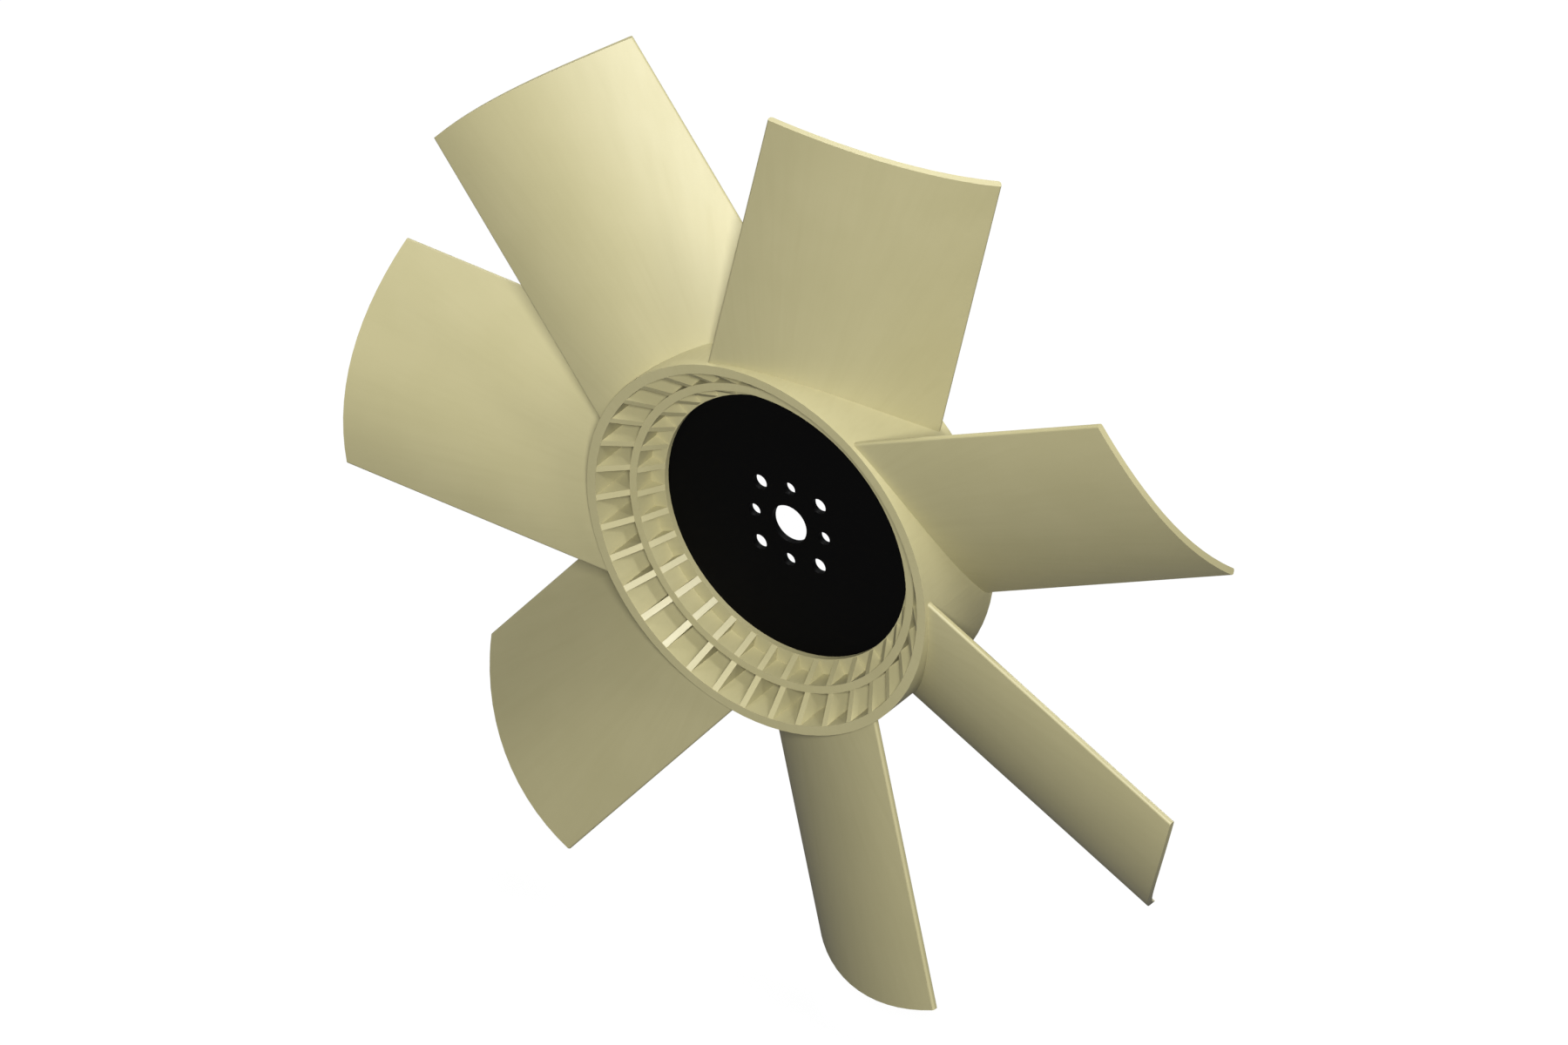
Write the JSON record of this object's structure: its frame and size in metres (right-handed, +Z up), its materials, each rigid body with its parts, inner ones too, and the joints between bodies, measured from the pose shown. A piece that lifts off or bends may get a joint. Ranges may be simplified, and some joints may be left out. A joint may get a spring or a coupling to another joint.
{
  "type": "axial fan impeller",
  "caption": "Axial fan impeller: wide cambered, pitched blades on a ribbed nylon hub drum, with a flat steel plate moulded in to bolt it to a motor flange.",
  "frame": {"origin": "on the spin axis, at the mid-plane of the mounting plate", "axes": "+Y along the spin axis towards the rear, where the motor is; the front, at -Y, is the side that the picture shows; +Z up; one blade points towards -X"},
  "size_m": [0.6019, 0.0689, 0.6099],
  "materials": {
    "nylon": "khaki glass-filled nylon, as moulded, with a soft sheen",
    "plate": "satin black paint on sheet steel"
  },
  "bodies": {
    "root": {"impeller_moulding": "nylon", "mounting_plate": "plate"}
  },
  "joints": []
}
